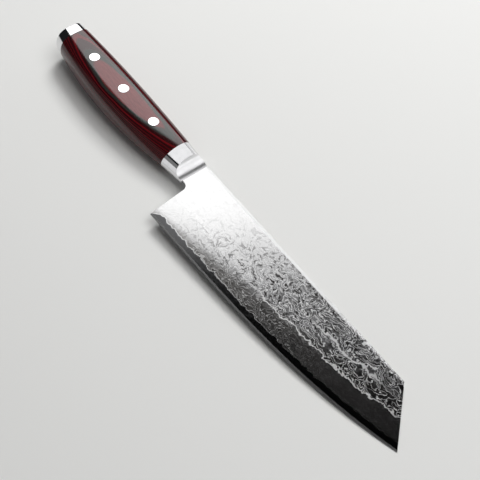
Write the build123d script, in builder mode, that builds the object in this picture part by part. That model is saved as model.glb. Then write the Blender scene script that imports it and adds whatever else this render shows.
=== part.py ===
from build123d import *
import os
from math import atan, degrees, hypot

# A kiritsuke kitchen knife: laminated blade, polished bolster and butt cap, riveted grip.
# It is drawn on its own middle plane, with X from the heel corner to the tip, Y from the edge
# to the spine and Z out of the right face. At the end it is laid down on its left side.

# Blade outline, seen from the right
blade_length = 200.0
heel_height = 46.2
spine_drop = 1.7
tip_height = 14.6
clip_run = 29.9
clip_corner_radius = 1.5
heel_lean = 2.9
neck_height = 28.6
choil_radius = 4.3
flat_edge_length = 40.0
edge_power = 2.7

# Blade section
spine_thickness = 2.2
clip_thickness = 2.0
grind_height = 18.0
grind_thickness = 1.84
bevel_width = 1.2
bevel_thickness = 0.4
grind_crown = 0.09
core_thickness = 0.8
grind_stock = 2.0

# Stations of the grip along X
bolster_front = -8.4
bolster_back = -26.0
swell_at = -90.0
cap_front = -133.0
cap_length = 7.7

# Bolster section at the blade: belly, spine and widest line above the edge, then the width.
# The share says how full a section's curve is: 0.55 is an ellipse, and 1 is nearly square.
front_belly = 27.6
front_spine = 46.1
front_ridge = 38.7
front_width = 15.0
scoop_radius = 7.8

# Grip section at the back of the bolster
back_belly = 25.8
back_spine = 47.3
back_ridge = 39.5
back_width = 16.2
back_belly_share = 0.54
back_spine_share = 0.64

# Grip section at the swell, where the palm closes
swell_belly = 22.3
swell_spine = 48.95
swell_ridge = 35.5
swell_width = 20.8
swell_belly_share = 0.78
swell_spine_share = 0.78

# Grip section at the butt cap
cap_belly = 27.1
cap_spine = 48.1
cap_ridge = 37.0
cap_width = 19.6
cap_belly_share = 0.69
cap_spine_share = 0.85
cap_crown = 0.8
cap_edge_radius = 0.8

# Slot through the bolster, where the blade's stub and the tang's tongue meet
slot_low = 31.0
slot_high = 43.0
stub_length = 8.0

# Tang, enclosed by the two scales
tang_thickness = 1.8
tang_front_low = 28.6
tang_front_high = 44.6
tang_rear_low = 31.2
tang_rear_high = 43.4
tang_tail_length = 3.5
tang_tail_low = 33.4
tang_tail_high = 41.2

# Rivets: where they stand, and the two halves that press together
rivet_front = -48.3
rivet_pitch = 30.6
rivet_height = 36.45
rivet_head_diameter = 6.7
rivet_barrel_diameter = 5.0
rivet_post_diameter = 3.2
rivet_seat = 6.6
rivet_post_gap = 0.6

# Overshoot of the cutting tools past the stock
overrun = 6.0

# How finely the curves are sampled
edge_spans = 6
scale_spans = 5
cap_spans = 2
rest_spans = 24

# Worked out from the sizes above
clip_corner_at = blade_length - clip_run
clip_corner_height = heel_height - spine_drop
clip_slope = clip_run / (clip_corner_height - tip_height)
stub_end = bolster_front - stub_length
cap_end = cap_front - cap_length
grip_stations = (bolster_back, swell_at, cap_front)
rivet_names = ("front", "middle", "rear")
rivet_centres = [(rivet_front - rivet_pitch * place, rivet_height) for place in range(3)]


def places(start, end, spans):
    """Evenly spaced places from start to end."""
    return [start + (end - start) * step / spans for step in range(spans + 1)]


def edge_rise(x):
    """Height of the cutting edge above the heel corner: flat at first, then rising to the tip."""
    share = (x - flat_edge_length) / (blade_length - flat_edge_length)
    return tip_height * share**edge_power


def through_stations(x, back, swell, cap):
    """Value at x of the parabola through the bolster's back, the swell and the butt cap."""
    a, b, c = grip_stations
    back_share = (x - b) * (x - c) / ((a - b) * (a - c))
    swell_share = (x - a) * (x - c) / ((b - a) * (b - c))
    cap_share = (x - a) * (x - b) / ((c - a) * (c - b))
    return back * back_share + swell * swell_share + cap * cap_share


def grip_half_width(x):
    """Half the grip's width at x."""
    return through_stations(x, back_width, swell_width, cap_width) / 2


def grip_section(x):
    """Sizes of the grip's section at x, anywhere from the bolster's back to the butt."""
    return (
        through_stations(x, back_belly, swell_belly, cap_belly),
        through_stations(x, back_spine, swell_spine, cap_spine),
        through_stations(x, back_ridge, swell_ridge, cap_ridge),
        grip_half_width(x),
        through_stations(x, back_belly_share, swell_belly_share, cap_belly_share),
        through_stations(x, back_spine_share, swell_spine_share, cap_spine_share),
    )


def square_plane(x):
    """Plane square to the knife at x: its own X points to the spine, its Y out of the right face."""
    return Plane(origin=(x, 0, 0), x_dir=(0, 1, 0), z_dir=(1, 0, 0))


def half_face(x, belly, spine, ridge, half_width, belly_share, spine_share):
    """Face at x of half a section: one curve up the belly to the widest line, one on to the spine."""
    with BuildSketch(square_plane(x)) as face:
        with BuildLine():
            Bezier(
                (belly, 0),
                (belly, half_width * belly_share),
                (ridge + (belly - ridge) * belly_share, half_width),
                (ridge, half_width),
            )
            Bezier(
                (ridge, half_width),
                (ridge + (spine - ridge) * spine_share, half_width),
                (spine, half_width * spine_share),
                (spine, 0),
            )
            Line((spine, 0), (belly, 0))
        make_face()
    return face.sketch


def slot_face(x):
    """Face at x of the bolster's slot, and of the stub and the tongue that fill it."""
    with BuildSketch(square_plane(x)) as face:
        with Locations(((slot_low + slot_high) / 2, 0)):
            Rectangle(slot_high - slot_low, tang_thickness)
    return face.sketch


def flank_plane(side):
    """Plane of the blade's flat flank, facing out of the right face (1) or the left one (-1)."""
    heel = Vector(bolster_front, heel_height, side * spine_thickness / 2)
    clip = Vector(clip_corner_at, clip_corner_height, side * clip_thickness / 2)
    grind = Vector(bolster_front, grind_height, side * grind_thickness / 2)
    along = clip - heel
    return Plane(origin=heel, x_dir=along, z_dir=along.cross(heel - grind) * side)


# Blade: a laminated blank, thinned on its flanks and ground along the edge on both sides
edge_places = places(flat_edge_length, blade_length, edge_spans)
edge_end = Vector(blade_length, tip_height)
edge_end_slope = edge_power * tip_height / (blade_length - flat_edge_length)
edge_end_direction = Vector(1, edge_end_slope).normalized()
heel_foot = (heel_lean * grind_stock / neck_height, -grind_stock)
tip_foot = (blade_length + grind_stock * clip_slope, tip_height - grind_stock)
bevel_slope = bevel_thickness / 2 / bevel_width
grind_run = grind_height - bevel_width
grind_rise = (grind_thickness - bevel_thickness) / 2
grind_end_slope = (grind_rise - 4 * grind_crown) / grind_run
grind_top = grind_height + (spine_thickness - grind_thickness) / 2 / grind_end_slope

with BuildPart() as blade:
    with BuildSketch() as blank:
        with BuildLine():
            Polyline(
                (flat_edge_length, -grind_stock),
                heel_foot,
                (-heel_lean, neck_height),
                (bolster_front, neck_height),
                (bolster_front, heel_height),
                (clip_corner_at, clip_corner_height),
                tip_foot,
            )
            Spline(
                *[(x, edge_rise(x) - grind_stock) for x in edge_places[:-1]],
                tip_foot,
                tangents=[(1, 0), edge_end_direction],
            )
        make_face()
        clip_corner = blank.vertices().sort_by_distance((clip_corner_at, clip_corner_height))[0]
        fillet(clip_corner, clip_corner_radius)
        choil_corner = blank.vertices().sort_by_distance((-heel_lean, neck_height))[0]
        fillet(choil_corner, choil_radius)
    extrude(amount=spine_thickness, both=True)
    for side in (1, -1):
        split(bisect_by=flank_plane(side), keep=Keep.BOTTOM)
    with BuildLine() as edge_path:
        Line((-overrun, 0), (flat_edge_length, 0))
        Spline(*[(x, edge_rise(x)) for x in edge_places], tangents=[(1, 0), edge_end_direction])
        Line(edge_end, edge_end + edge_end_direction * overrun)
    for side in (1, -1):
        with BuildSketch(square_plane(-overrun)):
            with BuildLine():
                grind = ThreePointArc(
                    (bevel_width, side * bevel_thickness / 2),
                    (
                        bevel_width + grind_run / 2,
                        side * (bevel_thickness / 2 + grind_rise / 2 + grind_crown),
                    ),
                    (grind_height, side * grind_thickness / 2),
                )
                Polyline(
                    grind @ 1,
                    (grind_top, side * spine_thickness / 2),
                    (grind_top, side * overrun),
                    (-overrun, side * overrun),
                    (-overrun, -side * overrun * bevel_slope),
                    grind @ 0,
                )
            make_face()
        sweep(path=edge_path.wire(), mode=Mode.SUBTRACT)
    extrude(slot_face(stub_end), amount=stub_length)

# The blade's three layers: hard core, and cladding on either side
with BuildPart() as blade_core:
    add(blade.part)
    split(bisect_by=Plane.XY.offset(core_thickness / 2), keep=Keep.BOTTOM)
    split(bisect_by=Plane.XY.offset(-core_thickness / 2), keep=Keep.TOP)

with BuildPart() as cladding_right:
    add(blade.part)
    split(bisect_by=Plane.XY.offset(core_thickness / 2), keep=Keep.TOP)

with BuildPart() as cladding_left:
    mirror(cladding_right.part, about=Plane.XY)

# Bolster: a collar that carries the grip's form on, scooped out on both sides down to the blade
front_section = (
    front_belly, front_spine, front_ridge, front_width / 2, back_belly_share, back_spine_share
)
with BuildPart() as bolster:
    loft([
        half_face(bolster_back, *grip_section(bolster_back)),
        half_face(bolster_front, *front_section),
    ])
    with BuildSketch(Plane.ZX.offset(front_belly - overrun)):
        with Locations((spine_thickness / 2 + scoop_radius, bolster_front)):
            Circle(scoop_radius)
    extrude(amount=front_spine - front_belly + 2 * overrun, mode=Mode.SUBTRACT)
    mirror(about=Plane.XY)
    extrude(slot_face(bolster_back), amount=bolster_front - bolster_back, mode=Mode.SUBTRACT)

# Scale stock: the right half of the grip between the bolster and the butt cap
with BuildPart() as scale_stock:
    loft([half_face(x, *grip_section(x)) for x in places(bolster_back, cap_front, scale_spans)])

# Tang: a strip from the bolster's slot to the butt cap, with a hole for each rivet
with BuildPart() as tang:
    with BuildSketch():
        with BuildLine():
            Polyline(
                (stub_end, slot_low),
                (bolster_back, slot_low),
                (bolster_back, tang_front_low),
                (cap_front, tang_rear_low),
                (cap_front, tang_tail_low),
                (cap_front - tang_tail_length, tang_tail_low),
                (cap_front - tang_tail_length, tang_tail_high),
                (cap_front, tang_tail_high),
                (cap_front, tang_rear_high),
                (bolster_back, tang_front_high),
                (bolster_back, slot_high),
                (stub_end, slot_high),
                close=True,
            )
        make_face()
    extrude(amount=tang_thickness / 2, both=True)
    with BuildSketch():
        with Locations(*rivet_centres):
            Circle(rivet_barrel_diameter / 2)
    extrude(amount=tang_thickness / 2, both=True, mode=Mode.SUBTRACT)

# Butt cap: crowned and rounded at its end, with a pocket for the tang's tail
cap_middle_height = (cap_belly + cap_spine) / 2
crown_radius = ((cap_spine - cap_belly) ** 2 / 4 + cap_crown**2) / (2 * cap_crown)
with BuildPart() as butt_cap:
    loft([half_face(x, *grip_section(x)) for x in places(cap_end, cap_front, cap_spans)])
    mirror(about=Plane.XY)
    with Locations((cap_end + crown_radius, cap_middle_height, 0)):
        Sphere(crown_radius, mode=Mode.INTERSECT)
    fillet(butt_cap.faces().sort_by(Axis.X)[0].edges(), cap_edge_radius)
    add(tang.part, mode=Mode.SUBTRACT)

# Scales: the two halves of the grip, hollowed for the tang and stepped for the rivets
with BuildPart() as scale_right:
    add(scale_stock.part)
    add(tang.part, mode=Mode.SUBTRACT)
    with BuildSketch():
        with Locations(*rivet_centres):
            Circle(rivet_barrel_diameter / 2)
    extrude(amount=rivet_seat, mode=Mode.SUBTRACT)
    with BuildSketch(Plane.XY.offset(rivet_seat)):
        with Locations(*rivet_centres):
            Circle(rivet_head_diameter / 2)
    extrude(amount=overrun, mode=Mode.SUBTRACT)

with BuildPart() as scale_left:
    mirror(scale_right.part, about=Plane.XY)


def rivet_head(centre):
    """Head on the right side, ground flush with the grip."""
    with BuildPart() as head:
        add(scale_stock.part)
        with BuildSketch(Plane.XY.offset(rivet_seat)):
            with Locations(centre):
                Circle(rivet_head_diameter / 2)
        extrude(amount=overrun, mode=Mode.INTERSECT)
    return head.part


def rivet_male(centre):
    """Half with the right head and the post."""
    with BuildPart() as male:
        add(rivet_head(centre))
        with BuildSketch(Plane.XY.offset(rivet_seat)):
            with Locations(centre):
                Circle(rivet_post_diameter / 2)
        extrude(amount=rivet_post_gap - 2 * rivet_seat)
    return male.part


def rivet_female(centre):
    """Half with the left head and the barrel that takes the post."""
    with BuildPart() as female:
        mirror(rivet_head(centre), about=Plane.XY)
        with BuildSketch(Plane.XY.offset(-rivet_seat)):
            with Locations(centre):
                Circle(rivet_barrel_diameter / 2)
                Circle(rivet_post_diameter / 2, mode=Mode.SUBTRACT)
        extrude(amount=2 * rivet_seat)
    return female.part


pieces = {
    "blade_core": blade_core.part,
    "cladding_right": cladding_right.part,
    "cladding_left": cladding_left.part,
    "tang": tang.part,
    "bolster": bolster.part,
    "butt_cap": butt_cap.part,
    "scale_right": scale_right.part,
    "scale_left": scale_left.part,
}
for name, centre in zip(rivet_names, rivet_centres):
    pieces[f"{name}_rivet_male"] = rivet_male(centre)
    pieces[f"{name}_rivet_female"] = rivet_female(centre)

# Laying the knife down: the left scale and the left side of the clip touch the surface
clip_lean = clip_slope * hypot(1, edge_end_slope) / (1 + clip_slope * edge_end_slope)


def clip_touch(inward):
    """Place on the clip at a distance in from the edge: its X, and how far out the grind stands."""
    share = (inward - bevel_width) / grind_run
    depth = bevel_thickness / 2 + grind_rise * share + 4 * grind_crown * share * (1 - share)
    return blade_length - inward * clip_lean, depth


rest_slope = min(
    max((grip_half_width(x) - depth) / (at - x) for x in places(bolster_back, cap_front, rest_spans))
    for at, depth in [clip_touch(inward) for inward in places(bevel_width, grind_height, rest_spans)]
)
tilt = Rot(0, degrees(atan(rest_slope)), 0)
laid_down = {name: tilt * piece for name, piece in pieces.items()}
box = Compound(list(laid_down.values())).bounding_box()
rest = Pos(-box.center().X, -box.center().Y, -box.min.Z)

os.makedirs("parts", exist_ok=True)
for name, piece in laid_down.items():
    finished = rest * piece
    finished.label = name
    export_step(finished, f"parts/{name}.step")
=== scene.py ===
"""Looks of a kiritsuke kitchen knife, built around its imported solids.

The knife is drawn in its own frame, in millimetres: x from the heel corner to the tip, y from the
edge to the spine and z out of the right face. RestPose lays that frame down on the floor.
"""

import logging
import math
from dataclasses import dataclass
from enum import Enum
from functools import reduce

import bmesh
import bpy
import numpy as np
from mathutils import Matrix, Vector


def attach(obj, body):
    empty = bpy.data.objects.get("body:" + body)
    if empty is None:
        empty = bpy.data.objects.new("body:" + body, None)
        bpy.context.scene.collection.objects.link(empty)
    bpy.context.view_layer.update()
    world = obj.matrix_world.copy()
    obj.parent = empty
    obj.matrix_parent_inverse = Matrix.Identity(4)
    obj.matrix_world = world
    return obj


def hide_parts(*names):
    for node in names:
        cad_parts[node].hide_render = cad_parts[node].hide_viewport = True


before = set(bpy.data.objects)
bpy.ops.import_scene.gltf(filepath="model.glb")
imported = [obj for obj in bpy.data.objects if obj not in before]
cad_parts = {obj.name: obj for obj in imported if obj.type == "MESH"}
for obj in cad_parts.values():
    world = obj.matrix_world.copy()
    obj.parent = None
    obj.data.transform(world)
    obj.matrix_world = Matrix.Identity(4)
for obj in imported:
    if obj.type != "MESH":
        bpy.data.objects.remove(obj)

log = logging.getLogger("knife")
Socket = bpy.types.NodeSocket
Material = bpy.types.Material
Piece = bpy.types.Object
Array = np.ndarray
Triple = tuple[float, float, float]
Colour = Triple

BLADE_NODES = ("blade_core", "cladding_right", "cladding_left")
SCALES = ("grip_scale_right", "grip_scale_left")
COLLAR = ("collar",)
SHOWN_RAYS = ("Is Camera Ray", "Is Glossy Ray", "Is Transmission Ray")
BACKGROUND: Colour = (0.76, 0.76, 0.75)


class Side(Enum):
    """Face of the knife that a piece belongs to."""

    RIGHT = 1
    LEFT = -1


class RivetHalf(Enum):
    """The two halves of a handle rivet, and the side on which each has its head."""

    MALE = Side.RIGHT
    FEMALE = Side.LEFT


class Surfaces(Enum):
    """Which surfaces a lamp serves: polished ones reflect it, and matt ones are lit by it."""

    POLISHED = "polished"
    MATT = "matt"


@dataclass(frozen=True)
class RestPose:
    """How the knife's own frame lies on the floor.

    Attributes:
        slope: Fall of the blade's middle plane from the butt to the tip, as a gradient.
        offset: Place of the heel corner after the turn, in millimetres.
        unit: Millimetres to a metre.
    """

    slope: float = 0.0361679
    offset: Triple = (-29.608, -24.4756, 7.62531)
    unit: float = 1000.0

    def turn(self) -> Array:
        """Rotation about y that carries the knife's frame into the floor's.

        Returns:
            Matrix of shape (3, 3).
        """
        angle = math.atan(self.slope)
        cosine, sine = math.cos(angle), math.sin(angle)
        return np.array([[cosine, 0.0, sine], [0.0, 1.0, 0.0], [-sine, 0.0, cosine]])

    def lay(self, points: Array) -> Array:
        """Lays points of the knife's frame on the floor: turned, moved and brought to metres."""
        return (points @ self.turn().T + np.array(self.offset)) / self.unit

    def way_back(self) -> dict[str, Vector | Triple]:
        """Inputs of the Mapping node that leads Object coordinates back to the knife's frame."""
        location = Vector(-self.turn().T @ np.array(self.offset))
        rotation = (0.0, -math.atan(self.slope), 0.0)
        return {"Location": location, "Rotation": rotation, "Scale": (self.unit,) * 3}


POSE = RestPose()


@dataclass(frozen=True)
class EdgeLine:
    """The cutting edge: flat from the heel, then rising as a power of the way to the tip."""

    flat: float = 40.0
    length: float = 200.0
    rise: float = 14.6
    power: float = 2.7


@dataclass(frozen=True)
class GripForm:
    """The grip's shape: each size of its section follows a parabola through three stations.

    Each tuple holds the size at the bolster's back, at the swell and at the butt cap.

    Attributes:
        stations: Places along x.
        belly, spine, ridge: Heights of the lowest, highest and widest line.
        belly_share, spine_share: How full its lower and upper quarter are.
        steps: Points along a quarter where a height is read off.
    """

    stations: Triple = (-26.0, -90.0, -133.0)
    belly: Triple = (25.8, 22.3, 27.1)
    spine: Triple = (47.3, 48.95, 48.1)
    ridge: Triple = (39.5, 35.5, 37.0)
    half_width: Triple = (8.1, 10.4, 9.8)
    belly_share: Triple = (0.54, 0.78, 0.69)
    spine_share: Triple = (0.64, 0.78, 0.85)
    steps: int = 96

    def sizes(self, x: Array) -> list[Array]:
        """Belly, spine, ridge, half width and the two shares: the parabolas in Lagrange's form.

        Args:
            x: Places along the grip.

        Returns:
            The six sizes, each with a value for every place.
        """
        a, b, c = self.stations
        back = (x - b) * (x - c) / ((a - b) * (a - c))
        swell = (x - a) * (x - c) / ((b - a) * (b - c))
        cap = (x - a) * (x - b) / ((c - a) * (c - b))
        forms = (self.belly, self.spine, self.ridge, self.half_width, self.belly_share, self.spine_share)
        return [form[0] * back + form[1] * swell + form[2] * cap for form in forms]

    def height(self, x: Array, y: Array) -> Array:
        """Height of the right face above the middle plane, in proportion between points of its section.

        Args:
            x, y: Places on the face, in arrays of one shape.

        Returns:
            The height at each place.
        """
        section = half_section(self.sizes(x.ravel()), self.steps)
        across, up = section[:, :, 0], section[:, :, 1]
        row = np.arange(len(section))
        after = np.clip((across < y.ravel()[:, None]).sum(axis=1), 1, across.shape[1] - 1)
        share = (y.ravel() - across[row, after - 1]) / (across[row, after] - across[row, after - 1])
        height = up[row, after - 1] * (1.0 - share) + up[row, after] * share
        return height.reshape(x.shape)


def cubic(ends: list[Array], t: Array) -> Array:
    """Cubic Bezier curves: the four control values weighted by the Bernstein polynomials of t."""
    a, b, c, d = (value[:, None] for value in ends)
    return (1.0 - t) ** 3 * a + 3 * (1.0 - t) ** 2 * t * b + 3 * (1.0 - t) * t**2 * c + t**3 * d


def half_section(sizes: list[Array], steps: int = 40) -> Array:
    """Half sections made of two Bezier quarters: belly to widest line, and widest line to spine.

    Args:
        sizes: The sections' sizes, as GripForm.sizes gives them.
        steps: Points along each quarter.

    Returns:
        Array of shape (sections, 2 * steps + 1, 2) with y and z, from the belly to the spine.
    """
    belly, spine, ridge, half_width, belly_share, spine_share = sizes
    t = (1.0 - np.cos(np.linspace(0.0, np.pi, steps + 1))) / 2.0
    zero = np.zeros_like(belly)
    low_y = cubic([belly, belly, ridge + (belly - ridge) * belly_share, ridge], t)
    low_z = cubic([zero, half_width * belly_share, half_width, half_width], t)
    high_y = cubic([ridge, ridge + (spine - ridge) * spine_share, spine, spine], t)
    high_z = cubic([half_width, half_width, half_width * spine_share, zero], t)
    y = np.concatenate([low_y, high_y[:, 1:]], axis=1)
    z = np.concatenate([low_z, high_z[:, 1:]], axis=1)
    return np.stack([y, z], axis=2)


def placed(x: Array, half: Array) -> Array:
    """Half sections set at their places x, one for each section or for each of its points."""
    along = np.broadcast_to(x[:, :, None], (*half.shape[:2], 1))
    return np.concatenate([along, half], axis=2)


def both_sides(x: Array, half: Array) -> Array:
    """Closed rings out of half sections: the right half, then its mirror image back to the start."""
    right = placed(x, half)
    return np.concatenate([right, right[:, -2:0:-1] * np.array([1.0, 1.0, -1.0])], axis=1)


def add_mesh(
    name: str, points: Array, faces: list[list[int]], smooth: Array, sharp: Array
) -> Piece:
    """Puts a mesh into the scene.

    Args:
        name: Name of the object.
        points: Points in the knife's frame, in millimetres, of shape (n, 3).
        faces: Indices of the points of each face.
        smooth: True for each face that is shaded smooth.
        sharp: True for each point on a crease; an edge between two of them is sharp.

    Returns:
        The new object, which stands at the origin.
    """
    mesh = bpy.data.meshes.new(name)
    mesh.from_pydata(POSE.lay(points).tolist(), [], faces)
    mesh.polygons.foreach_set("use_smooth", smooth)
    ends = np.empty(len(mesh.edges) * 2, np.int32)
    mesh.edges.foreach_get("vertices", ends)
    mesh.edges.foreach_set("use_edge_sharp", sharp[ends.reshape(-1, 2)].all(axis=1))
    mesh.validate()
    mesh.update()
    piece = bpy.data.objects.new(name, mesh)
    bpy.context.collection.objects.link(piece)
    return piece


def ring_body(
    name: str, rings: Array, end_pole: Array | None = None, sharp_rows: tuple[int, ...] = ()
) -> Piece:
    """Closed body carried along rings of points, with a fan at each end.

    Args:
        name: Name of the object.
        rings: Array of shape (rows, columns, 3); each row is a closed ring.
        end_pole: Point that rounds off the end, or None for a flat fan to the ring's middle.
        sharp_rows: Rows that are creases.

    Returns:
        The new object, with its faces outwards.
    """
    rows, columns, _ = rings.shape
    here = np.arange(columns)
    after = (here + 1) % columns
    base = columns * np.arange(rows - 1)[:, None]
    beyond = base + columns
    quads = np.stack([base + here, beyond + here, beyond + after, base + after], axis=2).reshape(-1, 4)
    first = np.stack([here, after, np.full(columns, rows * columns)], axis=1)
    last = np.stack([beyond[-1] + after, beyond[-1] + here, np.full(columns, rows * columns + 1)], axis=1)
    end = rings[-1].mean(axis=0) if end_pole is None else end_pole
    points = np.concatenate([rings.reshape(-1, 3), rings[0].mean(axis=0)[None], end[None]])
    smooth = np.repeat([True, False, end_pole is not None], [len(quads), columns, columns])
    sharp = np.isin(np.arange(len(points)) // columns, sharp_rows)
    piece = add_mesh(name, points, quads.tolist() + first.tolist() + last.tolist(), smooth, sharp)
    graph = bmesh.new()
    graph.from_mesh(piece.data)
    if graph.calc_volume(signed=True) < 0.0:
        piece.data.flip_normals()
    graph.free()
    return piece


@dataclass(frozen=True)
class Fade:
    """Smooth step from start to end, while a value goes from low to high."""

    low: float
    high: float
    start: float = 0.0
    end: float = 1.0


@dataclass(frozen=True)
class Grain:
    """Gradient noise: waves to a millimetre, finer layers, their strength, and a stretch by axis."""

    scale: float
    detail: float = 2.0
    rough: float = 0.5
    stretch: Triple = (1.0, 1.0, 1.0)


def opaque(colour: Colour) -> tuple[float, float, float, float]:
    """The colour with full opacity."""
    return (*colour, 1.0)


class Nodes:
    """Short calls for the shader nodes that the finishes and the surroundings share."""

    def __init__(self, tree: bpy.types.NodeTree) -> None:
        """Starts with an empty tree."""
        self.tree = tree
        self.tree.nodes.clear()

    def feed(self, node: bpy.types.Node, key: str | int, value: object) -> None:
        """Links a socket to an input, or sets the input.

        Args:
            node: The node.
            key: Name or place of its input.
            value: A socket, a number, a vector or a colour, or None to leave the input as it is.
        """
        if isinstance(value, Socket):
            self.tree.links.new(value, node.inputs[key])
        elif value is not None:
            node.inputs[key].default_value = value

    def make(self, kind: str, inputs: dict | None = None, **choices: object) -> bpy.types.Node:
        """Adds a node, makes its choices and feeds its inputs.

        Args:
            kind: The node's type, without the words that all types begin with.
            inputs: What each input gets.
            choices: The node's own choices.

        Returns:
            The new node.
        """
        node = self.tree.nodes.new("ShaderNode" + kind)
        for name, choice in choices.items():
            setattr(node, name, choice)
        for key, value in (inputs or {}).items():
            self.feed(node, key, value)
        return node

    def knife_coordinates(self) -> Socket:
        """Object coordinates led back into the knife's own frame, in millimetres."""
        place = self.make("TexCoord").outputs["Object"]
        return self.make("Mapping", {"Vector": place, **POSE.way_back()}).outputs[0]

    def maths(self, kind: str, a: object, b: object = None, clamp: bool = False) -> Socket:
        """One step of arithmetic, named as the Math node names it."""
        return self.make("Math", {0: a, 1: b}, operation=kind, use_clamp=clamp).outputs[0]

    def plus(self, a: object, b: object) -> Socket:
        """The sum of a and b."""
        return self.maths("ADD", a, b)

    def less(self, a: object, b: object) -> Socket:
        """What is left of a without b."""
        return self.maths("SUBTRACT", a, b)

    def times(self, a: object, b: object) -> Socket:
        """The product of a and b."""
        return self.maths("MULTIPLY", a, b)

    def most(self, *values: object) -> Socket:
        """The greatest of the values."""
        return reduce(lambda a, b: self.maths("MAXIMUM", a, b), values)

    def shifted(self, vector: object, by: object) -> Socket:
        """The sum of two vectors."""
        return self.make("VectorMath", {0: vector, 1: by}, operation="ADD").outputs[0]

    def stretched(self, vector: object, scale: Triple) -> Socket:
        """The vector times a scale on each axis."""
        return self.make("VectorMath", {0: vector, 1: scale}, operation="MULTIPLY").outputs[0]

    def towards(self, vector: object, direction: Triple) -> Socket:
        """Dot product of a vector and a fixed direction."""
        return self.make("VectorMath", {0: vector, 1: direction}, operation="DOT_PRODUCT").outputs["Value"]

    def parts(self, vector: Socket) -> tuple[Socket, ...]:
        """The x, y and z of a vector."""
        return tuple(self.make("SeparateXYZ", {0: vector}).outputs)

    def joined(self, x: object, y: object, z: object) -> Socket:
        """A vector made of three numbers."""
        return self.make("CombineXYZ", {0: x, 1: y, 2: z}).outputs[0]

    def rise(self, value: object, fade: Fade) -> Socket:
        """Where the value stands on a smooth step, between the step's start and its end."""
        ends = {"From Min": fade.low, "From Max": fade.high, "To Min": fade.start, "To Max": fade.end}
        return self.make("MapRange", {"Value": value, **ends}, interpolation_type="SMOOTHSTEP").outputs[0]

    def noise(self, vector: object, grain: Grain, output: str | int = 0) -> Socket:
        """Gradient noise about one half, as one number, or as three where the output is Color."""
        inputs = {"Scale": grain.scale, "Detail": grain.detail, "Roughness": grain.rough}
        vector = self.stretched(vector, grain.stretch)
        return self.make("TexNoise", {"Vector": vector, **inputs}).outputs[output]

    def wobble(self, vector: object, grain: Grain, reach: float) -> Socket:
        """Noise about nought, from minus half the reach to half of it."""
        return self.times(self.less(self.noise(vector, grain), 0.5), reach)

    def bend(self, vector: object, grain: Grain, reach: Triple) -> Socket:
        """Vector of noise about nought, with a reach along each axis."""
        return self.stretched(self.shifted(self.noise(vector, grain, "Color"), (-0.5, -0.5, -0.5)), reach)

    def blend(self, share: object, a: Socket | Colour, b: Socket | Colour) -> Socket:
        """Colour between a and b."""
        a, b = (opaque(colour) if isinstance(colour, tuple) else colour for colour in (a, b))
        return self.make("Mix", {0: share, 6: a, 7: b}, data_type="RGBA").outputs[2]

    def between(self, share: object, a: object, b: object) -> Socket:
        """Number between a and b."""
        return self.make("Mix", {0: share, 2: a, 3: b}).outputs[0]

    def seen(self, *rays: str) -> Socket:
        """One for the kinds of ray named, as the Light Path node names them, and nought for the rest."""
        path = self.make("LightPath")
        return self.most(*[path.outputs[ray] for ray in rays])


class Shader(Nodes):
    """A material under construction."""

    def __init__(self, name: str) -> None:
        """Makes an empty material with a Principled shader at its output.

        Args:
            name: Name of the material.
        """
        self.material = bpy.data.materials.new(name)
        self.material.use_nodes = True
        super().__init__(self.material.node_tree)
        self.surface = self.make("BsdfPrincipled")
        self.output = self.make("OutputMaterial", {"Surface": self.surface.outputs[0]})

    def set(self, **values: object) -> None:
        """Sets or feeds inputs of the Principled shader; an underscore stands for a space."""
        for key, value in values.items():
            self.feed(self.surface, key.replace("_", " "), value)

    def fade(self, share: object, colour: Colour) -> None:
        """Lets the surface pass into a plain colour of its own light by that share."""
        plain = self.make("Emission", {"Color": opaque(colour)})
        mix = self.make("MixShader", {0: share, 1: self.surface.outputs[0], 2: plain.outputs[0]})
        self.feed(self.output, "Surface", mix.outputs[0])

    def relief(self, height: object, depth: float) -> None:
        """Bump of that depth, in metres, on the Principled shader."""
        bump = self.make("Bump", {"Strength": 1.0, "Distance": depth, "Height": height})
        self.feed(self.surface, "Normal", bump.outputs[0])


@dataclass(frozen=True)
class OnBlade:
    """Sockets that say where a point lies on the blade.

    Attributes:
        above, below: Height above the cutting edge, and distance below the spine.
        bent: The coordinates after the bends of the layers.
        from_grind: Height above the squiggle at the foot of the flat flank.
    """

    place: Socket
    x: Socket
    y: Socket
    above: Socket
    below: Socket
    bent: Socket
    from_grind: Socket


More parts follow.
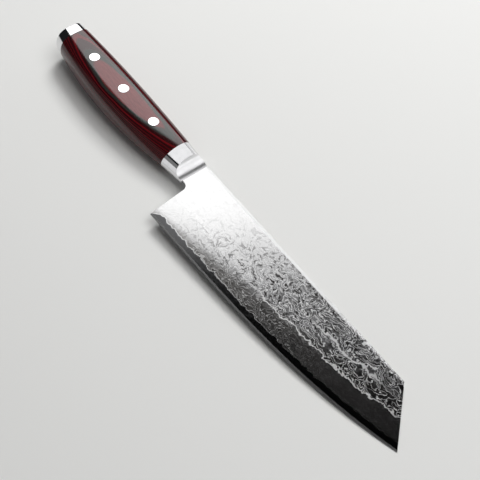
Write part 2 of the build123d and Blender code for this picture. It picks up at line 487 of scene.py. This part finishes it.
@dataclass(frozen=True)
class LayeredSteel:
    """Etched layers round a hard core: the looks of both the cladding and the core.

    The etched pattern is the contour lines of a warped noise field: the field times a number of
    layers, folded into a wave. Its crests are thin bright lines and its troughs are dark pits, on a
    grey ground. Painted shade darkens the ground towards the edge and the tip, and a painted sheen
    lightens it and washes the pattern out towards the heel.

    Attributes:
        core_line, grind_line, river_line: Heights above the edge of the cladding's wavy end, of the
            squiggle where the flat flank begins, and of a second bright band in the front half.
        spine, spine_fall: Height of the spine over the heel, and its fall along the blade.
        rub: Width of the spine's rounding in the bump; a painted highlight lies in a strip along the
        spine.
        warp, crinkle, ripple: Slow and quick bends of the layers, and waves of the cladding's end.
        hills, layers, lean: Noise field, how many layers it cuts, and their lean up the blade.
        patches, spots, specks: Noises of strong places, dark spots and light specks.
        line_cut, pit_cut: Which part of the folded wave is a bright line and which a dark pit.
        sheen_washout, sheen_fade: Strength of the pattern, and the ground's passage from the painted
        sheen to grey, by x less y; the painted sheen washes the pattern out towards the heel.
        shade, shade_slope: Border of the painted shade that darkens the ground, and its rise along
        the blade.
        core_border, core_glint, squiggle, river: Lines, by the distance from their middle.
    """

    edge: EdgeLine = EdgeLine()
    bevel: Fade = Fade(1.1, 1.3, 1.0, 0.0)
    core_line: float = 4.7
    grind_line: float = 16.7
    river_line: float = 27.0
    spine: float = 46.2
    spine_fall: float = 0.01
    rub: float = 2.2
    # Painted highlight: the bright strip along the spine, by the distance below it.
    spine_highlight_cut: Fade = Fade(1.4, 2.2, 1.0, 0.0)
    warp: Grain = Grain(0.13, 1.0)
    warp_reach: Triple = (12.0, 7.0, 0.0)
    crinkle: Grain = Grain(0.55, 1.0)
    crinkle_reach: Triple = (2.6, 2.6, 0.0)
    ripple: Grain = Grain(0.21, 1.5)
    ripple_reach: float = 5.2
    hills: Grain = Grain(0.26, 0.5, stretch=(0.55, 1.0, 1.0))
    layers: float = 7.5
    lean: float = 0.1
    patches: Grain = Grain(0.30, 0.0)
    patch_cut: Fade = Fade(0.36, 0.56, 0.5, 1.0)
    spots: Grain = Grain(0.62, 0.0)
    spot_cut: Fade = Fade(0.58, 0.65)
    specks: Grain = Grain(0.9, 1.0, 0.6)
    speck_cut: Fade = Fade(0.56, 0.66, 0.0, 0.16)
    line_cut: Fade = Fade(0.32, 0.44)
    pit_cut: Fade = Fade(0.04, 0.20, 0.8, 0.0)
    # Painted sheen: the pattern fades out and the ground turns lighter towards the heel.
    sheen_washout: Fade = Fade(-12.0, 55.0, 0.06, 1.0)
    sheen_fade: Fade = Fade(-12.0, 85.0)
    lower: Fade = Fade(50.0, 150.0, 0.8, 0.10)
    # Painted shade: the ground turns darker towards the edge and the tip, past a border that rises along
    # the blade.
    shade: Fade = Fade(-0.5, 7.5)
    shade_slope: float = 0.14
    core_start: Fade = Fade(-3.0, 5.0)
    core_border: Fade = Fade(-0.15, 0.15)
    core_glint: Fade = Fade(0.12, 0.45, 1.0, 0.0)
    squiggle: Fade = Fade(0.15, 0.6, 1.0, 0.0)
    river: Fade = Fade(0.3, 1.0, 0.9, 0.0)
    flank_border: Fade = Fade(-0.5, 0.6)
    scratches: Grain = Grain(6.0, 2.0, 0.6, (1.0, 0.03, 1.0))
    rough_ground: float = 0.20
    rough_line: float = 0.42
    rough_core: float = 0.12
    rough_bevel: float = 0.34
    rough_scratch: float = 0.08
    line_relief: float = 0.5
    scratch_relief: float = 0.06
    rub_relief: float = 3.0
    depth: float = 0.00002
    bright: Colour = (0.74, 0.74, 0.74)
    # Painted sheen: the lighter grey of the ground towards the heel.
    sheen_ground: Colour = (0.54, 0.54, 0.54)
    ground: Colour = (0.36, 0.36, 0.365)
    # Painted shade: the darker grey that the ground turns to towards the edge and the tip.
    shaded_ground: Colour = (0.140, 0.136, 0.132)
    pit: Colour = (0.035, 0.033, 0.032)
    core: Colour = (0.060, 0.060, 0.061)
    sharpened: Colour = (0.34, 0.34, 0.34)

    def material(self) -> Material:
        """Builds the material.

        Returns:
            The new material.
        """
        s = Shader("layered_steel")
        at = self.locate(s)
        cladding, glint = self.core_edge(s, at)
        line, pit = self.pattern(s, at)
        light = s.times(s.most(line, self.bands(s, at)), cladding)
        light = s.maths("MAXIMUM", light, glint, clamp=True)
        bevel = s.rise(at.above, self.bevel)

        # Painted sheen: the ground is lighter towards the heel.
        ground = s.blend(s.rise(s.less(at.x, at.y), self.sheen_fade), self.sheen_ground, self.ground)
        # Painted shade: below a border that rises along the blade, the ground turns to the darker shaded
        # grey.
        border = s.less(at.above, s.times(at.x, self.shade_slope))
        ground = s.blend(s.rise(border, self.shade), self.shaded_ground, ground)
        colour = s.blend(cladding, self.core, s.blend(pit, ground, self.pit))
        colour = s.blend(bevel, s.blend(light, colour, self.bright), self.sharpened)
        scratches = s.noise(at.place, self.scratches)
        rough = s.between(light, self.rough_ground, self.rough_line)
        rough = s.plus(rough, s.times(s.less(scratches, 0.5), self.rough_scratch))
        rough = s.between(bevel, s.between(cladding, self.rough_core, rough), self.rough_bevel)
        s.set(Base_Color=colour, Metallic=1.0, Roughness=rough)

        relief = s.plus(s.times(line, self.line_relief), s.times(scratches, self.scratch_relief))
        past_rub = s.less(self.rub, at.below)
        rounding = s.times(s.most(past_rub, 0.0), past_rub)
        s.relief(s.less(relief, s.times(rounding, self.rub_relief)), self.depth)
        return s.material

    def locate(self, s: Shader) -> OnBlade:
        """Works out where a point lies; the edge rises as a power of the way to the tip.

        Args:
            s: The material.

        Returns:
            The sockets that say it.
        """
        place = s.knife_coordinates()
        x, y, _ = s.parts(place)
        edge = self.edge
        way = s.maths("DIVIDE", s.less(x, edge.flat), edge.length - edge.flat, clamp=True)
        above = s.less(y, s.times(s.maths("POWER", way, edge.power), edge.rise))
        below = s.less(s.less(self.spine, s.times(x, self.spine_fall)), y)
        warp = s.bend(place, self.warp, self.warp_reach)
        bend = s.shifted(warp, s.bend(place, self.crinkle, self.crinkle_reach))
        from_grind = s.less(s.plus(above, s.parts(bend)[1]), self.grind_line)
        return OnBlade(place, x, y, above, below, s.shifted(place, bend), from_grind)

    def core_edge(self, s: Shader, at: OnBlade) -> tuple[Socket, Socket]:
        """The cladding's wavy end, which starts at the heel's back.

        Args:
            s: The material.
            at: Where the point lies.

        Returns:
            One on the cladding and nought on the core, and the strength of the glint between them.
        """
        ripple = s.wobble(s.joined(at.x, 0.0, 0.0), self.ripple, self.ripple_reach)
        line = s.times(s.plus(ripple, self.core_line), s.rise(at.x, self.core_start))
        past = s.less(at.above, line)
        glint = s.rise(s.maths("ABSOLUTE", past), self.core_glint)
        along = s.rise(at.x, Fade(60.0, 140.0, 0.55, 0.10))
        return s.rise(past, self.core_border), s.times(glint, along)

    def pattern(self, s: Shader, at: OnBlade) -> tuple[Socket, Socket]:
        """The etched layers, which grow stronger towards the tip and weaker below the squiggle.
        Towards the heel a painted sheen washes them out.

        Args:
            s: The material.
            at: Where the point lies.

        Returns:
            Strength of the bright lines and of the dark pits.
        """
        hills = s.times(s.noise(at.bent, self.hills), self.layers)
        fold = s.maths("PINGPONG", s.plus(hills, s.times(at.above, self.lean)), 0.5)
        strength = s.rise(s.noise(at.bent, self.patches), self.patch_cut)
        strength = s.times(strength, s.rise(at.x, Fade(60.0, 125.0, 0.65, 1.0)))
        line = s.times(s.rise(fold, self.line_cut), strength)
        gap = s.times(s.rise(fold, self.pit_cut), strength)
        pit = s.most(gap, s.rise(s.noise(at.bent, self.spots), self.spot_cut))
        upper = s.rise(at.from_grind, self.flank_border)
        shown = s.between(upper, s.rise(at.x, self.lower), 1.0)
        # Painted sheen: the pattern is washed out towards the heel.
        shown = s.times(s.rise(s.less(at.x, at.y), self.sheen_washout), shown)
        return s.times(line, shown), s.times(pit, shown)

    def bands(self, s: Shader, at: OnBlade) -> Socket:
        """The squiggle, the band above it, a painted highlight along the spine in the heel half, and the
        light specks.

        Args:
            s: The material.
            at: Where the point lies.

        Returns:
            Their strength.
        """
        squiggle = s.rise(s.maths("ABSOLUTE", at.from_grind), self.squiggle)
        squiggle = s.times(squiggle, s.rise(at.x, Fade(55.0, 95.0)))
        past = s.less(at.from_grind, self.river_line - self.grind_line)
        along = s.times(s.rise(at.x, Fade(100.0, 125.0)), s.rise(at.x, Fade(150.0, 180.0, 1.0, 0.0)))
        river = s.times(s.rise(s.maths("ABSOLUTE", past), self.river), along)
        # Painted highlight: a bright strip along the spine, in the heel half.
        strip = s.rise(at.below, self.spine_highlight_cut)
        strip = s.times(strip, s.rise(at.x, Fade(90.0, 150.0, 1.0, 0.0)))
        specks = s.rise(s.noise(at.place, self.specks), self.speck_cut)
        return s.most(squiggle, river, strip, s.times(specks, s.rise(at.x, Fade(70.0, 120.0))))


@dataclass(frozen=True)
class PolishedSteel:
    """Mirror-polished steel with the faint wipe marks of a buffing wheel.

    Attributes:
        name: Name of the material.
        tint: Colour of its reflections.
        gloss: Roughness between the marks.
        marks, haze: Wipe marks and broad patches, each with what it adds to the roughness.
        depth: Depth of the marks, in metres.
    """

    name: str = "polished_steel"
    tint: Colour = (0.79, 0.79, 0.80)
    gloss: float = 0.05
    marks: Grain = Grain(5.0, 3.0, 0.65, (0.12, 1.0, 1.0))
    haze: Grain = Grain(0.18)
    mark_cut: Fade = Fade(0.45, 0.75, 0.0, 0.05)
    haze_cut: Fade = Fade(0.4, 0.7, 0.0, 0.05)
    depth: float = 0.000002

    def material(self) -> Material:
        """Builds the material.

        Returns:
            The new material.
        """
        s = Shader(self.name)
        place = s.knife_coordinates()
        marks = s.noise(place, self.marks)
        haze = s.noise(place, self.haze)
        rough = s.plus(s.plus(s.rise(marks, self.mark_cut), self.gloss), s.rise(haze, self.haze_cut))
        tone = s.blend(s.rise(haze, Fade(0.3, 0.7)), self.tint, tuple(0.94 * part for part in self.tint))
        s.set(Base_Color=tone, Metallic=1.0, Roughness=rough)
        s.relief(marks, self.depth)
        return s.material


@dataclass(frozen=True)
class PlainSteel:
    """Stamped strip that nobody sees: even, dull grey with rolling marks along it."""

    tint: Colour = (0.45, 0.45, 0.45)
    marks: Grain = Grain(3.0, 3.0, 0.6, (0.05, 1.0, 1.0))
    roughness: Fade = Fade(0.3, 0.7, 0.35, 0.5)

    def material(self) -> Material:
        """Builds the material.

        Returns:
            The new material.
        """
        s = Shader("plain_steel")
        marks = s.noise(s.knife_coordinates(), self.marks)
        tone = s.blend(marks, self.tint, tuple(0.8 * part for part in self.tint))
        s.set(Base_Color=tone, Metallic=1.0, Roughness=s.rise(marks, self.roughness))
        return s.material


@dataclass(frozen=True)
class LaminatedWood:
    """Thin sheets of red and black wood, bonded with resin, shaped and polished.

    The sheets lie along the blade's plane, so the curved surface cuts them into long ovals. A
    sheet's colour follows from its height above the middle plane, bent a little by noise: thin red
    and black sheets by turns, then a thick black one and a red one outermost.

    Attributes:
        pair, seam: Thickness of two thin sheets, and where black turns to red in them.
        black_from, red_from: Heights at which the thick black and the outermost red sheet begin.
        lean, lean_about: Fall of the sheets along the grip, and where their heights are true.
        slow, quick: Bends of the sheets, each with its reach.
        pick: Noise that says which thin sheets are deep red.
        fibres, fibre_cut, roughness: The wood's fibres, and how black and how rough they are.
    """

    pair: float = 0.62
    seam: Fade = Fade(0.1488, 0.2232)
    black_from: Fade = Fade(9.42, 9.52)
    red_from: Fade = Fade(9.78, 9.92)
    lean: float = 0.02
    lean_about: float = -80.0
    slow: Grain = Grain(0.06, stretch=(0.5, 1.0, 1.0))
    slow_reach: float = 0.7
    quick: Grain = Grain(0.5, stretch=(0.2, 1.0, 1.0))
    quick_reach: float = 0.14
    pick: Grain = Grain(0.9, 1.0)
    pick_cut: Fade = Fade(0.42, 0.58)
    fibres: Grain = Grain(2.4, 4.0, 0.65, (0.06, 1.0, 1.0))
    fibre_cut: Fade = Fade(0.35, 0.70, 0.0, 0.45)
    roughness: Fade = Fade(0.3, 0.8, 0.09, 0.15)
    depth: float = 0.000003
    red: Colour = (0.15, 0.006, 0.009)
    deep_red: Colour = (0.085, 0.005, 0.007)
    outer_red: Colour = (0.17, 0.024, 0.026)
    black: Colour = (0.026, 0.003, 0.004)
    outer_black: Colour = (0.022, 0.030, 0.026)

    def material(self) -> Material:
        """Builds the material.

        Returns:
            The new material.
        """
        s = Shader("laminated_wood")
        place = s.knife_coordinates()
        x, _, z = s.parts(place)
        height = s.plus(s.times(s.less(x, self.lean_about), self.lean), s.maths("ABSOLUTE", z))
        height = s.plus(height, s.wobble(place, self.slow, self.slow_reach))
        height = s.plus(height, s.wobble(place, self.quick, self.quick_reach))

        pick = s.noise(s.joined(0.0, 0.0, height), self.pick)
        red = s.blend(s.rise(pick, self.pick_cut), self.deep_red, self.red)
        wave = s.maths("PINGPONG", height, self.pair / 2)
        sheet = s.blend(s.rise(wave, self.seam), self.black, red)
        sheet = s.blend(s.rise(height, self.black_from), sheet, self.outer_black)
        sheet = s.blend(s.rise(height, self.red_from), sheet, self.outer_red)

        fibres = s.noise(place, self.fibres)
        colour = s.blend(s.rise(fibres, self.fibre_cut), sheet, self.black)
        s.set(Base_Color=colour, Roughness=s.rise(fibres, self.roughness), IOR=1.5)
        s.relief(fibres, self.depth)
        return s.material


@dataclass(frozen=True)
class PaleFloor:
    """Matt pale floor that passes into the plain background between two distances from the knife."""

    colour: Colour = (0.80, 0.80, 0.785)
    away: Fade = Fade(0.26, 0.50)

    def material(self) -> Material:
        """Builds the material; only the rays that show the background see the change.

        Returns:
            The new material.
        """
        s = Shader("pale_floor")
        s.set(Base_Color=opaque(self.colour), Roughness=0.6, Specular_IOR_Level=0.2)
        x, y, _ = s.parts(s.make("TexCoord").outputs["Object"])
        distance = s.maths("SQRT", s.plus(s.times(x, x), s.times(y, y)))
        s.fade(s.times(s.rise(distance, self.away), s.seen(*SHOWN_RAYS)), BACKGROUND)
        return s.material


def wear(piece: Piece, material: Material) -> None:
    """Puts one material on all of a piece."""
    piece.data.materials.clear()
    piece.data.materials.append(material)


def seat(piece: Piece, material: Material, node: str) -> str:
    """Dresses a new piece, lets it ride on the knife and stand for its solid.

    Args:
        piece: The new piece.
        material: Its finish.
        node: The solid that it stands for.

    Returns:
        The piece's name.
    """
    wear(piece, material)
    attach(piece, "root")
    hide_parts(node)
    return piece.name


@dataclass
class Blade:
    """The laminated blade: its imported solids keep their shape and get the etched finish."""

    finish: LayeredSteel = LayeredSteel()

    def dress(self) -> list[str]:
        """Gives the core and the cladding their finish.

        Returns:
            The nodes' names.
        """
        material = self.finish.material()
        for node in BLADE_NODES:
            wear(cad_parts[node], material)
        return list(BLADE_NODES)


@dataclass
class Tang:
    """The strip inside the grip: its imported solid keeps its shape."""

    finish: PlainSteel = PlainSteel()

    def dress(self) -> list[str]:
        """Gives the tang its finish and returns the node's name."""
        wear(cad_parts["tang"], self.finish.material())
        return ["tang"]


@dataclass
class Bolster:
    """The steel collar: it carries the grip's form on and is scooped out down to the blade.

    Attributes:
        front: Where the collar ends at the blade.
        section: Sizes of its section there, before the scoop, as GripForm.sizes gives them.
        scoop_radius, floor: Radius of the round scoop, and the height at which it meets the blade.
        steps, body_rows, scoop_rows: Points along a quarter, and rows up to the crease and beyond.
        halvings, crease_limit: Steps in the search for the crease, and how far forward it may lie.
    """

    form: GripForm = GripForm()
    finish: PolishedSteel = PolishedSteel()
    scoop_finish: PolishedSteel = PolishedSteel("satin_steel", gloss=0.29)
    front: float = -8.4
    section: tuple[float, ...] = (27.6, 46.1, 38.7, 7.5, 0.54, 0.64)
    scoop_radius: float = 7.8
    floor: float = 1.1
    steps: int = 60
    body_rows: int = 16
    scoop_rows: int = 28
    halvings: int = 40
    crease_limit: float = 0.98

    def along(self, share: Array) -> Array:
        """Place on x by the share of the way from the collar's back to its front."""
        return self.form.stations[0] + (self.front - self.form.stations[0]) * share

    def scoop(self, x: Array) -> Array:
        """Height of the scoop's surface at x: a circle that is tangent to the blade at the front."""
        reach = np.clip(self.scoop_radius**2 - (x - self.front) ** 2, 0.0, None)
        return self.floor + self.scoop_radius - np.sqrt(reach)

    def crease(self, back: Array, front: Array) -> Array:
        """Where each straight column of the collar meets the scoop, found by halving.

        Args:
            back, front: Height of each column at the collar's two ends.

        Returns:
            Share of the way to the front, for each column.
        """
        low, high = np.zeros(len(back)), np.ones(len(back))
        for _ in range(self.halvings):
            middle = (low + high) / 2
            x = self.along(middle)
            cut = (back + (front - back) * middle > self.scoop(x)) & (x >= self.front - self.scoop_radius)
            low, high = np.where(cut, low, middle), np.where(cut, middle, high)
        return np.minimum(low, self.crease_limit)

    def rings(self) -> Array:
        """Closed sections whose columns are straight lines from the back to the front, cut by the scoop.

        The body's rows are spread up to each column's crease and the scoop's rows beyond it, so
        that one row follows the crease.

        Returns:
            Array of shape (rows, columns, 3).
        """
        ends = [self.form.sizes(np.array([self.form.stations[0]])), np.array(self.section)[:, None]]
        back, front = (half_section(sizes, self.steps)[0] for sizes in ends)
        crease = self.crease(back[:, 1], front[:, 1])
        body = np.linspace(0.0, 1.0, self.body_rows + 1)[:, None] * crease
        beyond = crease + (1.0 - crease) * np.linspace(0.0, 1.0, self.scoop_rows + 1)[1:, None]
        share = np.concatenate([body, beyond])
        half = back + (front - back) * share[:, :, None]
        x = self.along(share)
        cut = slice(self.body_rows + 1, None)
        half[cut, :, 1] = np.minimum(half[cut, :, 1], self.scoop(x[cut]))
        return both_sides(x, half)

    def build(self) -> list[str]:
        """Builds the bolster, with a finish of its own in the scoop.

        Returns:
            The piece's name.
        """
        rings = self.rings()
        rows, columns, _ = rings.shape
        piece = ring_body(COLLAR[0], rings, sharp_rows=(0, self.body_rows, rows - 1))
        name = seat(piece, self.finish.material(), "bolster")
        piece.data.materials.append(self.scoop_finish.material())
        finishes = np.zeros(len(piece.data.polygons), np.int32)
        finishes[self.body_rows * columns:(rows - 1) * columns] = 1
        piece.data.polygons.foreach_set("material_index", finishes)
        return [name]


@dataclass
class ButtCap:
    """The steel end of the grip, with a rounded rim and a crowned face.

    Attributes:
        length, crown: Length of the cap, and how much of it is crown.
        rim_radius, rim_room: Radius of the rounded rim, and its place before the crown.
    """

    form: GripForm = GripForm()
    finish: PolishedSteel = PolishedSteel()
    length: float = 7.7
    crown: float = 0.8
    rim_radius: float = 0.6
    rim_room: float = 0.48
    side_rows: int = 10
    rim_rows: int = 8
    crown_rows: int = 9

    def rings(self) -> tuple[Array, Array]:
        """Closed sections from the joint to the middle of the crown.

        The side follows the grip. At the rim a quarter circle draws the section in, and beyond it
        the sections shrink towards the middle while x follows the crown's parabola.

        Returns:
            Array of shape (rows, columns, 3), and the middle point of the crown.
        """
        start = self.form.stations[2]
        end = start - self.length
        side = np.linspace(start, end + self.crown + self.rim_room, self.side_rows)
        turn = np.linspace(0.0, np.pi / 2, self.rim_rows + 1)[1:]
        x = np.concatenate([side, side[-1] - self.rim_radius * np.sin(turn)])
        inset = np.concatenate([np.zeros(len(side)), self.rim_radius * (1.0 - np.cos(turn))])
        belly, spine, ridge, half_width, *shares = self.form.sizes(np.clip(x, end, None))
        half = half_section([belly + inset, spine - inset, ridge, half_width - inset, *shares])
        outer = both_sides(x[:, None], half)
        last = outer[-1]
        pole = np.array([end, (last[:, 1].min() + last[:, 1].max()) / 2, 0.0])
        share = np.linspace(1.0, 0.0, self.crown_rows + 2)[1:-1, None, None]
        inner = pole + (last[None] - pole) * share
        inner[:, :, 0] = end + (last[0, 0] - end) * share[:, :, 0] ** 2
        return np.concatenate([outer, inner]), pole

    def build(self) -> list[str]:
        """Builds the cap and returns its name."""
        rings, pole = self.rings()
        piece = ring_body("end_cap", rings, end_pole=pole, sharp_rows=(0,))
        return [seat(piece, self.finish.material(), "butt_cap")]


@dataclass
class Grip:
    """The two scales of laminated wood."""

    form: GripForm = GripForm()
    finish: LaminatedWood = LaminatedWood()
    rows: int = 140

    def scale_mesh(self, side: Side) -> Piece:
        """One scale: half sections carried from the bolster to the cap, closed along the middle plane.

        Args:
            side: Which scale it is.

        Returns:
            The new object.
        """
        x = np.linspace(self.form.stations[0], self.form.stations[2], self.rows)
        rings = placed(x[:, None], half_section(self.form.sizes(x))) * np.array([1.0, 1.0, side.value])
        return ring_body(f"grip_scale_{side.name.lower()}", rings, sharp_rows=(0, self.rows - 1))

    def build(self) -> list[str]:
        """Builds both scales.

        Returns:
            Their names.
        """
        material = self.finish.material()
        return [
            seat(self.scale_mesh(side), material, f"scale_{side.name.lower()}")
            for side in Side
        ]


@dataclass
class Rivets:
    """Three handle rivets, each of two halves whose heads follow the grip's surface.

    Attributes:
        places, height: Name of each rivet and place of its axis on x, and their place on y.
        head_radius, barrel_radius, post_radius: Radii of the head and of the two kinds of shank.
        head_floor, shank_end: Heights of the head's underside and of the shank's end.
        proud: How far the head stands out of the grip.
        rings, sinks: Rings on the head as shares of its radius, and how deep each lies below it.
    """

    form: GripForm = GripForm()
    finish: PolishedSteel = PolishedSteel("rivet_steel", (0.82, 0.82, 0.83), 0.09)
    places: tuple[tuple[str, float], ...] = (("front", -48.3), ("middle", -78.9), ("rear", -109.5))
    height: float = 36.45
    head_radius: float = 3.35
    barrel_radius: float = 2.5
    post_radius: float = 1.6
    head_floor: float = 6.6
    shank_end: float = 0.6
    proud: float = 0.03
    rings: tuple[float, ...] = (0.25, 0.5, 0.75, 0.9, 0.97, 1.0)
    sinks: tuple[float, ...] = (0.0, 0.0, 0.0, 0.0, 0.012, 0.05)
    corners: int = 64

    def half_mesh(self, name: str, x: float, half: RivetHalf) -> Piece:
        """One half: a head over the grip's surface, its underside and its shank, turned about its axis.

        Args:
            name: Which rivet it is.
            x: Where its axis stands.
            half: Which half it is.

        Returns:
            The new object.
        """
        shank = self.post_radius if half is RivetHalf.MALE else self.barrel_radius
        head = np.array(self.rings) * self.head_radius
        radii = np.array([*head, self.head_radius, shank, shank])[:, None]
        turn = np.linspace(0.0, 2 * np.pi, self.corners, endpoint=False)
        ring_x = x + radii * np.cos(turn)
        ring_y = self.height + radii * np.sin(turn)
        top = self.form.height(ring_x[:len(head)], ring_y[:len(head)]) + self.proud
        below = np.repeat([[self.head_floor], [self.head_floor], [self.shank_end]], self.corners, axis=1)
        ring_z = np.concatenate([top - np.array(self.sinks)[:, None], below])
        middle = self.form.height(np.array([x]), np.array([self.height]))[0] + self.proud
        mirror = np.array([1.0, 1.0, half.value.value])
        rings = np.stack([ring_x, ring_y, ring_z], axis=2)[::-1] * mirror
        pole = np.array([x, self.height, middle]) * mirror
        return ring_body(f"rivet_{name}_{half.name.lower()}", rings, end_pole=pole, sharp_rows=(0, 1, 2, 3))

    def build(self) -> list[str]:
        """Builds the six halves.

        Returns:
            Their names.
        """
        material = self.finish.material()
        return [
            seat(self.half_mesh(name, x, half), material, f"{name}_rivet_{half.name.lower()}")
            for name, x in self.places
            for half in RivetHalf
        ]


@dataclass(frozen=True)
class Panel:
    """Rectangular lamp that hangs level and faces down, or is tilted up to face sideways.

    Attributes:
        name, middle, size: Its name, the place of its middle, and its sides in metres.
        glow, serves: Brightness of its face, and which surfaces it serves.
        turn, tilt: Its turns about the vertical and out of the level, in degrees.
        only, never: The only pieces that it reaches, or the pieces that it leaves out.
    """

    name: str
    middle: Triple
    size: tuple[float, float]
    glow: float
    serves: Surfaces = Surfaces.POLISHED
    turn: float = 0.0
    tilt: float = 0.0
    only: tuple[str, ...] = ()
    never: tuple[str, ...] = ()

    def hang(self) -> None:
        """Adds the lamp; its power follows from its glow and its area."""
        light = bpy.data.lights.new(self.name, "AREA")
        light.shape = "RECTANGLE"
        light.size, light.size_y = self.size
        light.energy = self.glow * math.pi * self.size[0] * self.size[1]
        lamp = bpy.data.objects.new(self.name, light)
        lamp.location = self.middle
        lamp.rotation_euler = (math.radians(self.tilt), 0.0, math.radians(self.turn))
        lamp.visible_camera = False
        lamp.visible_glossy = self.serves is Surfaces.POLISHED
        lamp.visible_diffuse = self.serves is Surfaces.MATT
        bpy.context.collection.objects.link(lamp)
        if self.only or self.never:
            pieces = bpy.data.collections.new(self.name)
            for piece in self.only + self.never:
                pieces.objects.link(bpy.data.objects[piece])
            for entry in pieces.collection_objects:
                entry.light_linking.link_state = "INCLUDE" if self.only else "EXCLUDE"
            lamp.light_linking.receiver_collection = pieces


@dataclass
class Studio:
    """Floor, lamps, surroundings and camera.

    Softboxes hang behind the knife and cards stand round it, for polished surfaces. Some reach only
    the blade, the collar or the grip. A key and a fill light the matt surfaces, so that colours
    render about as they are written.

    Attributes:
        camera_angle, film: Angle of view in degrees, and width of the film in millimetres.
        plain_light: Even light on matt surfaces from all round.
        dim, dim_from: Colour of the ceiling, and the height of a direction at which it is reached.
        card, card_towards, card_edge: Colour, direction and soft edge of a round card.
    """

    camera_place: Triple = (0.4852, -0.3464, 0.7584)
    camera_target: Triple = (0.0108, 0.0087, 0.0)
    camera_angle: float = 16.0
    film: float = 36.0
    panels: tuple[Panel, ...] = (
        Panel("softbox_left", (-0.93, 1.0, 1.0), (1.25, 1.5), 2.2, turn=-17.0, never=COLLAR + SCALES),
        Panel("softbox_grip", (-0.93, 1.0, 1.0), (1.25, 1.5), 3.4, turn=-17.0, only=SCALES),
        Panel("softbox_right", (1.54, 0.55, 1.0), (2.6, 1.3), 1.4),
        Panel("reflector", (-0.63, 0.70, 1.0), (0.66, 2.46), 1.05, only=COLLAR),
        Panel("card_front", (-0.55, -1.0, 0.34), (1.3, 0.68), 0.60, tilt=90.0, only=COLLAR),
        Panel("card_back", (-1.3, 2.2, 0.6), (3.0, 1.2), 0.80, turn=180.0, tilt=90.0, only=COLLAR),
        Panel("card_right", (1.8, 0.4, 0.3), (2.4, 0.6), 1.3, turn=90.0, tilt=90.0),
        Panel("card_blade", (1.1, -1.1, 0.42), (2.2, 0.8), 0.55, turn=45.0, tilt=90.0, only=BLADE_NODES),
        Panel("key", (-0.70, 0.80, 1.0), (0.6, 0.6), 14.0, Surfaces.MATT),
        Panel("fill", (0.60, 0.45, 1.5), (1.2, 1.2), 3.2, Surfaces.MATT),
    )
    plain_light: float = 0.15
    dim: Colour = (0.012, 0.012, 0.013)
    dim_from: float = 0.12
    card: Colour = (0.20, 0.20, 0.20)
    card_towards: Triple = (-0.20, -0.93, 0.30)
    card_edge: Fade = Fade(0.80, 0.83)
    floor_radius: float = 7.0
    floor_corners: int = 96

    def floor(self) -> None:
        """Lays a plain floor: a fan of triangles round the middle."""
        corners = self.floor_corners
        turn = np.linspace(0.0, 2 * np.pi, corners, endpoint=False)
        points = np.zeros((corners + 1, 3))
        points[:corners, :2] = self.floor_radius * np.stack([np.cos(turn), np.sin(turn)], axis=1)
        here = np.arange(corners)
        faces = np.stack([here, (here + 1) % corners, np.full(corners, corners)], axis=1)
        mesh = bpy.data.meshes.new("floor")
        mesh.from_pydata(points.tolist(), [], faces.tolist())
        mesh.update()
        floor = bpy.data.objects.new("floor", mesh)
        bpy.context.collection.objects.link(floor)
        wear(floor, PaleFloor().material())

    def world(self) -> None:
        """Surroundings: a plain background, and an even, weak light for matt surfaces.

        Polished surfaces see the background low down, a dim ceiling overhead and a round card low
        in front of the knife.
        """
        world = bpy.data.worlds.new("studio")
        world.use_nodes = True
        w = Nodes(world.node_tree)
        direction = w.make("TexCoord").outputs["Generated"]
        share = w.maths("DIVIDE", w.parts(direction)[2], self.dim_from, clamp=True)
        card = w.rise(w.towards(direction, self.card_towards), self.card_edge)
        mirrored = w.blend(card, w.blend(share, BACKGROUND, self.dim), self.card)
        shown = w.blend(w.seen("Is Camera Ray"), mirrored, BACKGROUND)
        colour = w.blend(w.seen(*SHOWN_RAYS), (self.plain_light,) * 3, shown)
        w.make("OutputWorld", {"Surface": w.make("Background", {"Color": colour}).outputs[0]})
        bpy.context.scene.world = world

    def camera(self) -> None:
        """Sets up the camera at the photograph's viewpoint."""
        data = bpy.data.cameras.new("camera")
        data.sensor_fit = "HORIZONTAL"
        data.sensor_width = self.film
        data.lens = self.film / 2 / math.tan(math.radians(self.camera_angle / 2))
        data.clip_start = 0.01
        camera = bpy.data.objects.new("camera", data)
        camera.location = self.camera_place
        look = Vector(self.camera_target) - Vector(self.camera_place)
        camera.rotation_euler = look.to_track_quat("-Z", "Y").to_euler()
        bpy.context.collection.objects.link(camera)
        bpy.context.scene.camera = camera

    def build(self) -> None:
        """Builds the stage round the finished knife, whose pieces some lamps name."""
        self.floor()
        for panel in self.panels:
            panel.hang()
        self.world()
        self.camera()
        bpy.context.scene.view_settings.view_transform = "Standard"


def main() -> None:
    """Builds the knife and then the stage, and logs the name of each piece that it builds."""
    logging.basicConfig(level=logging.INFO, format="%(name)s: %(message)s")
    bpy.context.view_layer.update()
    blade, tang, bolster, cap, grip, rivets = Blade(), Tang(), Bolster(), ButtCap(), Grip(), Rivets()
    for build in (blade.dress, tang.dress, bolster.build, cap.build, grip.build, rivets.build):
        for name in build():
            log.info("built %s", name)
    Studio().build()


if __name__ == "__main__":
    main()
